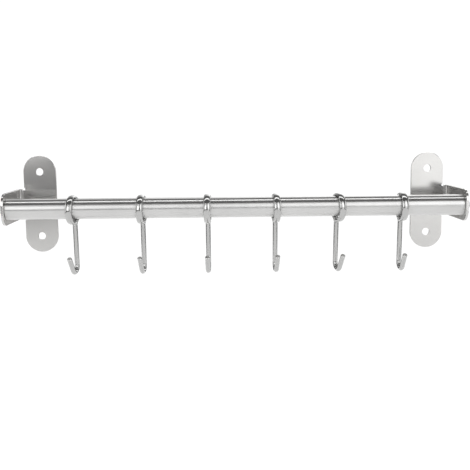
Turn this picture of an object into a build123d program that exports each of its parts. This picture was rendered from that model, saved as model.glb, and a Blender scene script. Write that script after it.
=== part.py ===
"""Kitchen wall rack: a round steel rail carried by two folded brackets, with wire hooks hanging on the rail.

Millimetres. The origin lies on the wall, midway between the four wall holes. +X runs along the rail,
+Y points into the wall and +Z points up, so the front of the rack faces -Y.
"""

import os
from math import atan2, cos, degrees, radians, sin, sqrt

from build123d import *

# Rail: a plain round tube, cut square at both ends
rail_length = 400.0
rail_diameter = 18.0
rail_wall = 1.0
rail_end_chamfer = 0.3
rail_to_wall = 50.0

# Brackets: one folded sheet each, an upright wall plate and an arm that comes forward from its outer edge
sheet = 2.0
plate_width = 30.0
plate_height = 90.0
wall_hole_diameter = 7.0
wall_hole_pitch = 60.0
arm_height = 28.0
arm_past_rail = 12.0
arm_corner_radius = 10.0
bend_radius = 4.0
relief_radius = 1.2
sheet_edge_chamfer = 0.3

# End plugs: threaded discs pressed into the ends of the tube
plug_length = 12.0
plug_clearance = 0.05
plug_chamfer = 0.5

# End screws: cross-recess pan heads that draw the arms against the rail
screw_diameter = 5.0
screw_length = 12.0
screw_tip_chamfer = 0.6
thread_clearance = 0.05
arm_hole_clearance = 0.25
head_diameter = 9.5
head_height = 3.7
head_rounding = 2.2
recess_length = 5.2
recess_width = 1.3
recess_depth = 2.2
recess_taper = 8.0

# Hooks: one bent wire each, pressed flat into a band where it rings the rail, with a straight stem and a tip
wire_diameter = 4.2
band_width = 5.8
band_thickness = 2.6
ring_clearance = 1.25
ring_seat_gap = 0.1
ring_overrun_angle = 8.0
stem_offset = 4.1
stem_drop = 49.15
shoulder_radius = 5.0
bight_radius = 6.0
tip_length = 14.2
tip_lean_angle = 31.8
wire_end_chamfer = 0.4
hang_angle = 3.0

# Where each hook hangs, as a share of the rail's length from its middle, and its turn about the vertical
hook_places = [(-0.357, -10.1), (-0.207, -6.6), (-0.0625, -2.6), (0.0875, 3.5), (0.2253, 12.7), (0.366, 3.2)]

# Derived sizes
rail_radius = rail_diameter / 2
bore_radius = rail_radius - rail_wall
arm_inner_x = rail_length / 2
arm_outer_x = arm_inner_x + sheet
arm_front_y = -(rail_to_wall + arm_past_rail)
bend_x = arm_inner_x - bend_radius
bend_y = -(sheet + bend_radius)
plate_x = bend_x - plate_width / 2
bend_middle_outside = (bend_radius + sheet) / sqrt(2)
bend_middle_inside = bend_radius / sqrt(2)
wire_radius = wire_diameter / 2
ring_radius = rail_radius + ring_clearance + band_thickness / 2
ring_drop = ring_clearance - ring_seat_gap

# The shoulder is the reverse bend that leads the ring into the stem, tangent to both
shoulder_back = stem_offset + shoulder_radius
shoulder_down = sqrt((ring_radius + shoulder_radius) ** 2 - shoulder_back**2)
shoulder_angle = degrees(atan2(shoulder_back, shoulder_down))

# A relief leaves no edge longer than a half circle, which is a little over three radii
relief_edge_limit = 4 * relief_radius

# Plate, fold and arm have two broad faces each
BROAD_FACES = 6

# The shoulder is drawn through this many steps between the flat ring and the round stem
SHOULDER_STEPS = 4

SIDES = {"left": -1, "right": 1}


def make_rail():
    """The tube between the two arms."""
    with BuildPart() as rail:
        with BuildSketch(Plane.YZ.offset(-arm_inner_x)):
            with Locations((-rail_to_wall, 0)):
                Circle(rail_radius)
                Circle(bore_radius, mode=Mode.SUBTRACT)
        extrude(amount=rail_length)
        rims = rail.edges().filter_by(GeomType.CIRCLE).group_by(SortBy.RADIUS)[-1]
        chamfer(rims, rail_end_chamfer)
    return rail.part


def make_left_bracket():
    """The folded bracket at the left end."""
    with BuildPart() as bracket:
        # Wall plate with round ends and two screw holes
        with BuildSketch(Plane.XZ):
            with Locations((-plate_x, 0)):
                SlotOverall(plate_height, plate_width, rotation=90)
            with Locations((-plate_x, wall_hole_pitch / 2), (-plate_x, -wall_hole_pitch / 2)):
                Circle(wall_hole_diameter / 2, mode=Mode.SUBTRACT)
        extrude(amount=sheet)
        # Arm, folded forward from the outer edge of the plate
        with BuildSketch(Plane.XY.offset(-arm_height / 2)):
            with BuildLine():
                ThreePointArc(
                    (-bend_x, 0),
                    (-bend_x - bend_middle_outside, bend_y + bend_middle_outside),
                    (-arm_outer_x, bend_y),
                )
                Polyline(
                    (-arm_outer_x, bend_y),
                    (-arm_outer_x, arm_front_y),
                    (-arm_inner_x, arm_front_y),
                    (-arm_inner_x, bend_y),
                )
                ThreePointArc(
                    (-arm_inner_x, bend_y),
                    (-bend_x - bend_middle_inside, bend_y + bend_middle_inside),
                    (-bend_x, -sheet),
                )
                Line((-bend_x, -sheet), (-bend_x, 0))
            make_face()
        extrude(amount=arm_height)
        front_corners = bracket.edges().filter_by(Axis.X).group_by(Axis.Y)[0]
        fillet(front_corners, arm_corner_radius)
        # Round reliefs at both ends of the fold
        with BuildSketch(Plane.XZ):
            with Locations((-bend_x, arm_height / 2), (-bend_x, -arm_height / 2)):
                Circle(relief_radius)
        extrude(amount=sheet + bend_radius, mode=Mode.SUBTRACT)
        # Hole for the end screw
        with BuildSketch(Plane.YZ.offset(-arm_inner_x)):
            with Locations((-rail_to_wall, 0)):
                Circle(screw_diameter / 2 + arm_hole_clearance)
        extrude(amount=-sheet, mode=Mode.SUBTRACT)
        # Break the outline of the sheet: not the fold lines, which two broad faces share, nor the reliefs
        broad_faces = bracket.faces().sort_by(SortBy.AREA)[-BROAD_FACES:]
        outline = [edge for face in broad_faces for edge in face.outer_wire().edges()]
        rims = [edge for edge in outline if outline.count(edge) == 1 and edge.length > relief_edge_limit]
        chamfer(rims, sheet_edge_chamfer)
    return bracket.part


def make_right_bracket():
    """The folded bracket at the right end, the mirror image of the left one."""
    left_bracket = make_left_bracket()
    with BuildPart() as bracket:
        mirror(left_bracket, about=Plane.YZ)
    return bracket.part


def make_end_plug(side):
    """The threaded disc in one end of the tube, flush with the cut end."""
    with BuildPart() as plug:
        with BuildSketch(Plane.YZ.offset(side * arm_inner_x)):
            with Locations((-rail_to_wall, 0)):
                Circle(bore_radius - plug_clearance)
                Circle(screw_diameter / 2, mode=Mode.SUBTRACT)
        extrude(amount=-side * plug_length)
        rims = plug.edges().filter_by(GeomType.CIRCLE).group_by(SortBy.RADIUS)[-1]
        chamfer(rims, plug_chamfer)
    return plug.part


def make_end_screw(side):
    """The screw through one arm into its plug; the thread is a plain shank."""
    seat = Plane((side * arm_outer_x, -rail_to_wall, 0), x_dir=(0, 1, 0), z_dir=(side, 0, 0))
    with BuildPart() as screw:
        with BuildSketch(seat):
            Circle(head_diameter / 2)
        extrude(amount=head_height)
        head_rim = screw.edges().sort_by(Axis(seat.origin, seat.z_dir))[-1]
        fillet(head_rim, head_rounding)
        with BuildSketch(seat):
            Circle(screw_diameter / 2 - thread_clearance)
        extrude(amount=-screw_length)
        shank_rim = screw.edges().sort_by(Axis(seat.origin, seat.z_dir))[0]
        chamfer(shank_rim, screw_tip_chamfer)
        # Cross recess
        with BuildSketch(seat.offset(head_height)):
            Rectangle(recess_length, recess_width)
            Rectangle(recess_width, recess_length)
        extrude(amount=-recess_depth, taper=recess_taper, mode=Mode.SUBTRACT)
    return screw.part


def make_hook(x, yaw):
    """One wire hook hanging on the rail at x, turned by yaw about the vertical."""
    forward = Vector(sin(radians(yaw)), -cos(radians(yaw)), 0)
    up = Vector(0, 0, 1)
    hook_forward = forward * cos(radians(hang_angle)) - up * sin(radians(hang_angle))
    hook_plane = Plane((x, -rail_to_wall, -ring_drop), x_dir=hook_forward, z_dir=forward.cross(up))
    with BuildPart() as hook:
        # Ring, from its free end in front of the stem to the shoulder
        with BuildLine(hook_plane) as ring_path:
            ring_start = -90 - ring_overrun_angle
            ring_sweep = 360 + ring_overrun_angle - shoulder_angle
            ring = CenterArc((0, 0), ring_radius, ring_start, ring_sweep)
        with BuildSketch(Plane(ring @ 0, x_dir=hook_plane.z_dir, z_dir=ring % 0)):
            Ellipse(band_width / 2, band_thickness / 2)
        sweep(path=ring_path.line)
        # Shoulder, from flat to round
        with BuildLine(hook_plane):
            shoulder = JernArc(ring @ 1, ring % 1, shoulder_radius, shoulder_angle - 90)
        for step in range(SHOULDER_STEPS + 1):
            share = step / SHOULDER_STEPS
            width = band_width + (wire_diameter - band_width) * share
            thickness = band_thickness + (wire_diameter - band_thickness) * share
            with BuildSketch(Plane(shoulder @ share, x_dir=hook_plane.z_dir, z_dir=shoulder % share)):
                Ellipse(width / 2, thickness / 2)
        loft()
        # Stem, bight and tip
        with BuildLine(hook_plane) as wire_path:
            stem = Line(shoulder @ 1, (-stem_offset, -stem_drop))
            bight = JernArc(stem @ 1, stem % 1, bight_radius, 180 - tip_lean_angle)
            tip = Line(bight @ 1, (bight @ 1) + (bight % 1) * tip_length)
        with BuildSketch(Plane(stem @ 0, z_dir=stem % 0)):
            Circle(wire_radius)
        sweep(path=wire_path.line)
        tip_rim = hook.edges().filter_by(GeomType.CIRCLE).sort_by_distance(tip @ 1)[0]
        ring_rim = hook.edges().filter_by(GeomType.ELLIPSE).sort_by_distance(ring @ 0)[0]
        chamfer([tip_rim, ring_rim], wire_end_chamfer)
    return hook.part


pieces = {
    "rail_tube": make_rail(),
    "left_bracket": make_left_bracket(),
    "right_bracket": make_right_bracket(),
}
for side_name, side in SIDES.items():
    pieces[f"{side_name}_end_plug"] = make_end_plug(side)
    pieces[f"{side_name}_end_screw"] = make_end_screw(side)
for number, (share, yaw) in enumerate(hook_places, start=1):
    pieces[f"hook_{number}"] = make_hook(share * rail_length, yaw)

os.makedirs("parts", exist_ok=True)
for name, piece in pieces.items():
    piece.label = name
    export_step(piece, f"parts/{name}.step")
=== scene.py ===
"""Looks of the kitchen wall rack: brushed rail, satin brackets and polished hooks in soft studio light."""

import math

import bpy
from mathutils import Matrix, Vector


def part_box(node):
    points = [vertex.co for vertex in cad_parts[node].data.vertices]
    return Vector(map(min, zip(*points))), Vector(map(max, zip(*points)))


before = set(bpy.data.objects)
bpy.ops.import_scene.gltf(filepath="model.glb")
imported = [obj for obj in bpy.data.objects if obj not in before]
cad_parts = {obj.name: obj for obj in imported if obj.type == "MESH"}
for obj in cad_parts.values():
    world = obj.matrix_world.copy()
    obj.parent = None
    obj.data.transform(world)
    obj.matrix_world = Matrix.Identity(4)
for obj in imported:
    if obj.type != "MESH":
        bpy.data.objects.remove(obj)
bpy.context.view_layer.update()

# Camera, fitted to the photograph's 470 by 470 frame: metres, degrees and, for lens and sensor, millimetres
camera_place = (-0.0170, -0.7302, 0.0680)
camera_pan = 1.335
camera_tilt = -7.763
camera_roll = -0.499
camera_lens = 59.65
sensor_width = 36.0
clip_near = 0.01
clip_far = 20.0

# Floor of pale paper, in metres; its front edge is where the steel stops reflecting it
floor_height = -0.30
floor_front = -2.85
floor_back = 1.0
floor_half_width = 1.3
paper_white = 0.9
paper_roughness = 0.9

# Room that the steel reflects, and the plain white that the camera sees; white paper is about 1
room_dim = 0.16
wall_left = 0.6
wall_right = 1.9
wall_shown = 1.05

# Spans over which the wall behind changes, as parts of a unit direction: across in X, up in Z, back in Y
wall_turn = (-0.25, 0.25)
wall_foot = (0.02, 0.15)
wall_edge = (0.45, 0.8)

# Soft boxes round the rack: left, right, bottom and top edge in degrees from straight ahead, then brightness
box_distance = 1.9
soft_boxes = {
    "left_box": (-48, -13.8, 0.6, 30, 2.2),
    "left_box_top": (-48, -15, 30, 45, 1.1),
    "middle_box": (-15, 9, 16, 45, 0.35),
    "right_box": (9, 45, 6, 38, 2.1),
    "right_box_top": (9, 45, 38, 47, 1.2),
    "right_box_foot": (9, 45, -5.9, 6, 1.26),
    "right_box_low": (9, 45, -9, -5.9, 0.15),
    "left_side": (-110, -65, -10, 30, 1.3),
    "right_side": (65, 110, -10, 30, 1.3),
}

# A wide panel lights the floor, and a narrow strip above the rail draws the light line along its top
floor_light_place = (0, 1.2, 3.0)
floor_light_aim = (0, 1.2, 0)
floor_light_size = (10, 10)
floor_light_brightness = 1.3
top_strip_place = (0, -0.03, 1.4)
top_strip_size = (2.6, 0.27)
top_strip_brightness = 2.3

# Steel: base colours, the cloud that tints them, and the grain's spread in roughness and height in metres
rail_colour = (0.59, 0.588, 0.583)
bracket_colour = (0.583, 0.577, 0.567)
hook_colour = (0.48, 0.48, 0.475)
screw_colour = (0.55, 0.55, 0.555)
plug_colour = (0.45, 0.45, 0.455)
cloud_scale = 45.0
cloud_depth = 0.03
grain_spread = 0.04
grain_height = 0.00002

# Noise: its finer layers, and the range that most of its values lie in
noise_detail = 3.0
noise_range = (0.3, 0.7)

# Reflections on the rail and the brackets are drawn out along the rail
along_rail = (1, 0, 0)


def new_metal(name):
    """A node material of bare metal, and its shader."""
    material = bpy.data.materials.new(name)
    material.use_nodes = True
    tree = material.node_tree
    shader = tree.nodes["Principled BSDF"]
    shader.inputs["Metallic"].default_value = 1.0
    return material, tree, shader


def stretched_noise(tree, stretch, scale):
    """Noise drawn out into streaks: stretch scales the object's X, Y and Z."""
    place = tree.nodes.new("ShaderNodeTexCoord")
    mapping = tree.nodes.new("ShaderNodeMapping")
    mapping.inputs["Scale"].default_value = stretch
    noise = tree.nodes.new("ShaderNodeTexNoise")
    noise.inputs["Scale"].default_value = scale
    noise.inputs["Detail"].default_value = noise_detail
    tree.links.new(place.outputs["Object"], mapping.inputs["Vector"])
    tree.links.new(mapping.outputs["Vector"], noise.inputs["Vector"])
    return noise.outputs["Fac"]


def spread(tree, value, low, high):
    """Maps the usual range of a noise onto the range from low to high."""
    remap = tree.nodes.new("ShaderNodeMapRange")
    remap.inputs["From Min"].default_value, remap.inputs["From Max"].default_value = noise_range
    remap.inputs["To Min"].default_value = low
    remap.inputs["To Max"].default_value = high
    tree.links.new(value, remap.inputs["Value"])
    return remap.outputs["Result"]


def tint(tree, value, colour, depth):
    """A grey that wanders round colour by the given depth, as value goes up and down."""
    mix = tree.nodes.new("ShaderNodeMix")
    mix.data_type = "RGBA"
    mix.inputs["A"].default_value = (*[c * (1 - depth) for c in colour], 1)
    mix.inputs["B"].default_value = (*[c * (1 + depth) for c in colour], 1)
    tree.links.new(value, mix.inputs["Factor"])
    return mix.outputs["Result"]


def grain(tree, shader, value, relief):
    """Fine relief from a noise."""
    bump = tree.nodes.new("ShaderNodeBump")
    bump.inputs["Strength"].default_value = relief
    bump.inputs["Distance"].default_value = grain_height
    tree.links.new(value, bump.inputs["Height"])
    tree.links.new(bump.outputs["Normal"], shader.inputs["Normal"])


def steel(name, colour, roughness, grain_scale, relief, stretch=(1, 1, 1), anisotropy=0.0, blur_way=None):
    """Steel with a grain: stretch draws the grain out, and blur_way is the way that reflections blur."""
    material, tree, shader = new_metal(name)
    fine = stretched_noise(tree, stretch, grain_scale)
    cloud = spread(tree, stretched_noise(tree, (1, 1, 1), cloud_scale), 0, 1)
    tree.links.new(tint(tree, cloud, colour, cloud_depth), shader.inputs["Base Color"])
    varied = spread(tree, fine, roughness * (1 - grain_spread), roughness * (1 + grain_spread))
    tree.links.new(varied, shader.inputs["Roughness"])
    shader.inputs["Anisotropic"].default_value = anisotropy
    if blur_way:
        direction = tree.nodes.new("ShaderNodeCombineXYZ")
        for axis, part in zip("XYZ", blur_way):
            direction.inputs[axis].default_value = part
        tree.links.new(direction.outputs["Vector"], shader.inputs["Tangent"])
    grain(tree, shader, fine, relief)
    return material


def dress(node, material):
    """Gives a CAD node its finish."""
    node.data.materials.clear()
    node.data.materials.append(material)


# The finishes, by the word in the name of the nodes that wear them
finishes = {
    "rail": steel(
        "rail_steel",
        rail_colour,
        roughness=0.29,
        grain_scale=4000,
        relief=0.002,
        stretch=(1, 0.02, 0.02),
        anisotropy=0.91,
        blur_way=along_rail,
    ),
    "bracket": steel(
        "bracket_steel",
        bracket_colour,
        roughness=0.165,
        grain_scale=6000,
        relief=0.02,
        stretch=(1, 1, 0.02),
        anisotropy=0.3,
        blur_way=along_rail,
    ),
    "hook": steel("hook_steel", hook_colour, roughness=0.12, grain_scale=900, relief=0.05),
    "screw": steel("screw_steel", screw_colour, roughness=0.16, grain_scale=1200, relief=0.05),
    "plug": steel("plug_steel", plug_colour, roughness=0.30, grain_scale=1500, relief=0.1),
}
for name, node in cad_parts.items():
    for word, finish in finishes.items():
        if word in name:
            dress(node, finish)


def make_floor():
    """A pale paper floor, far enough below to take no clear shadow."""
    corners = [
        (-floor_half_width, floor_front, floor_height),
        (floor_half_width, floor_front, floor_height),
        (floor_half_width, floor_back, floor_height),
        (-floor_half_width, floor_back, floor_height),
    ]
    mesh = bpy.data.meshes.new("floor")
    mesh.from_pydata(corners, [], [(0, 1, 2, 3)])
    floor = bpy.data.objects.new("floor", mesh)
    bpy.context.scene.collection.objects.link(floor)
    paper = bpy.data.materials.new("paper")
    paper.use_nodes = True
    shader = paper.node_tree.nodes["Principled BSDF"]
    shader.inputs["Base Color"].default_value = (paper_white, paper_white, paper_white, 1)
    shader.inputs["Roughness"].default_value = paper_roughness
    shader.inputs["Specular IOR Level"].default_value = 0.0
    mesh.materials.append(paper)


def add_panel(name, place, aim, size, brightness, lights_floor=False):
    """A soft rectangular light that looks at aim: it shows in the steel, or else it lights the floor."""
    lamp = bpy.data.lights.new(name, "AREA")
    lamp.shape = "RECTANGLE"
    lamp.size, lamp.size_y = size
    lamp.energy = brightness * math.pi * size[0] * size[1]
    panel = bpy.data.objects.new(name, lamp)
    panel.location = place
    panel.rotation_mode = "QUATERNION"
    panel.rotation_quaternion = (Vector(aim) - Vector(place)).to_track_quat("-Z", "Y")
    panel.visible_camera = False
    panel.visible_diffuse = lights_floor
    panel.visible_glossy = not lights_floor
    bpy.context.scene.collection.objects.link(panel)


def add_soft_box(name, left, right, bottom, top, brightness):
    """An upright soft box that faces the rack; its edges are angles right of and above straight ahead."""
    turn = math.radians((left + right) / 2)
    half_width = box_distance * math.tan(math.radians((right - left) / 2))
    low, high = (box_distance * math.tan(math.radians(angle)) for angle in (bottom, top))
    place = (box_distance * math.sin(turn), -box_distance * math.cos(turn), (low + high) / 2)
    aim = (0, 0, place[2])
    add_panel(name, place, aim, (2 * half_width, high - low), brightness)


def make_lights():
    """The floor's own light, the soft boxes and the strip above the rail."""
    add_panel(
        "floor_light",
        floor_light_place,
        floor_light_aim,
        floor_light_size,
        floor_light_brightness,
        lights_floor=True,
    )
    for name, box in soft_boxes.items():
        add_soft_box(name, *box)
    rail_low, rail_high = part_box("rail_tube")
    rail_middle = (Vector(rail_low) + Vector(rail_high)) / 2
    add_panel("top_strip", top_strip_place, rail_middle, top_strip_size, top_strip_brightness)


def ramp(tree, value, span, low, high):
    """A smooth step from low to high as value goes through span."""
    step = tree.nodes.new("ShaderNodeMapRange")
    step.interpolation_type = "SMOOTHSTEP"
    step.inputs["From Min"].default_value, step.inputs["From Max"].default_value = span
    step.inputs["To Min"].default_value = low
    step.inputs["To Max"].default_value = high
    tree.links.new(value, step.inputs["Value"])
    return step.outputs["Result"]


def blend(tree, share, first, second):
    """Goes from the first strength to the second with share; each may be a number or a socket."""
    mix = tree.nodes.new("ShaderNodeMix")
    tree.links.new(share, mix.inputs["Factor"])
    for name, strength in (("A", first), ("B", second)):
        if isinstance(strength, float):
            mix.inputs[name].default_value = strength
        else:
            tree.links.new(strength, mix.inputs[name])
    return mix.outputs["Result"]


def make_world():
    """A dim room with a bright wall high up behind the rack, brighter to the right; the camera sees white."""
    world = bpy.data.worlds.new("room")
    bpy.context.scene.world = world
    world.use_nodes = True
    tree = world.node_tree
    place = tree.nodes.new("ShaderNodeTexCoord")
    way = tree.nodes.new("ShaderNodeSeparateXYZ")
    tree.links.new(place.outputs["Generated"], way.inputs["Vector"])
    ray = tree.nodes.new("ShaderNodeLightPath")
    wall = ramp(tree, way.outputs["X"], wall_turn, wall_left, wall_right)
    upper_wall = blend(tree, ramp(tree, way.outputs["Z"], wall_foot, 0, 1), room_dim, wall)
    room = blend(tree, ramp(tree, way.outputs["Y"], wall_edge, 0, 1), room_dim, upper_wall)
    shown = blend(tree, ray.outputs["Is Camera Ray"], room, wall_shown)
    sky = tree.nodes["Background"]
    sky.inputs["Color"].default_value = (1, 1, 1, 1)
    tree.links.new(shown, sky.inputs["Strength"])


def make_camera():
    """The photograph's camera."""
    pan, tilt, roll = (math.radians(angle) for angle in (camera_pan, camera_tilt, camera_roll))
    look = Vector((math.sin(pan) * math.cos(tilt), math.cos(pan) * math.cos(tilt), math.sin(tilt)))
    level = Vector((math.cos(pan), -math.sin(pan), 0))
    above = level.cross(look)
    right = level * math.cos(roll) + above * math.sin(roll)
    up = above * math.cos(roll) - level * math.sin(roll)
    data = bpy.data.cameras.new("camera")
    data.lens = camera_lens
    data.sensor_width = sensor_width
    data.clip_start = clip_near
    data.clip_end = clip_far
    camera = bpy.data.objects.new("camera", data)
    turn = Matrix((right, up, -look)).transposed()
    camera.matrix_world = Matrix.Translation(camera_place) @ turn.to_4x4()
    bpy.context.scene.collection.objects.link(camera)
    bpy.context.scene.camera = camera


make_floor()
make_world()
make_lights()
make_camera()
bpy.context.scene.view_settings.view_transform = "Standard"
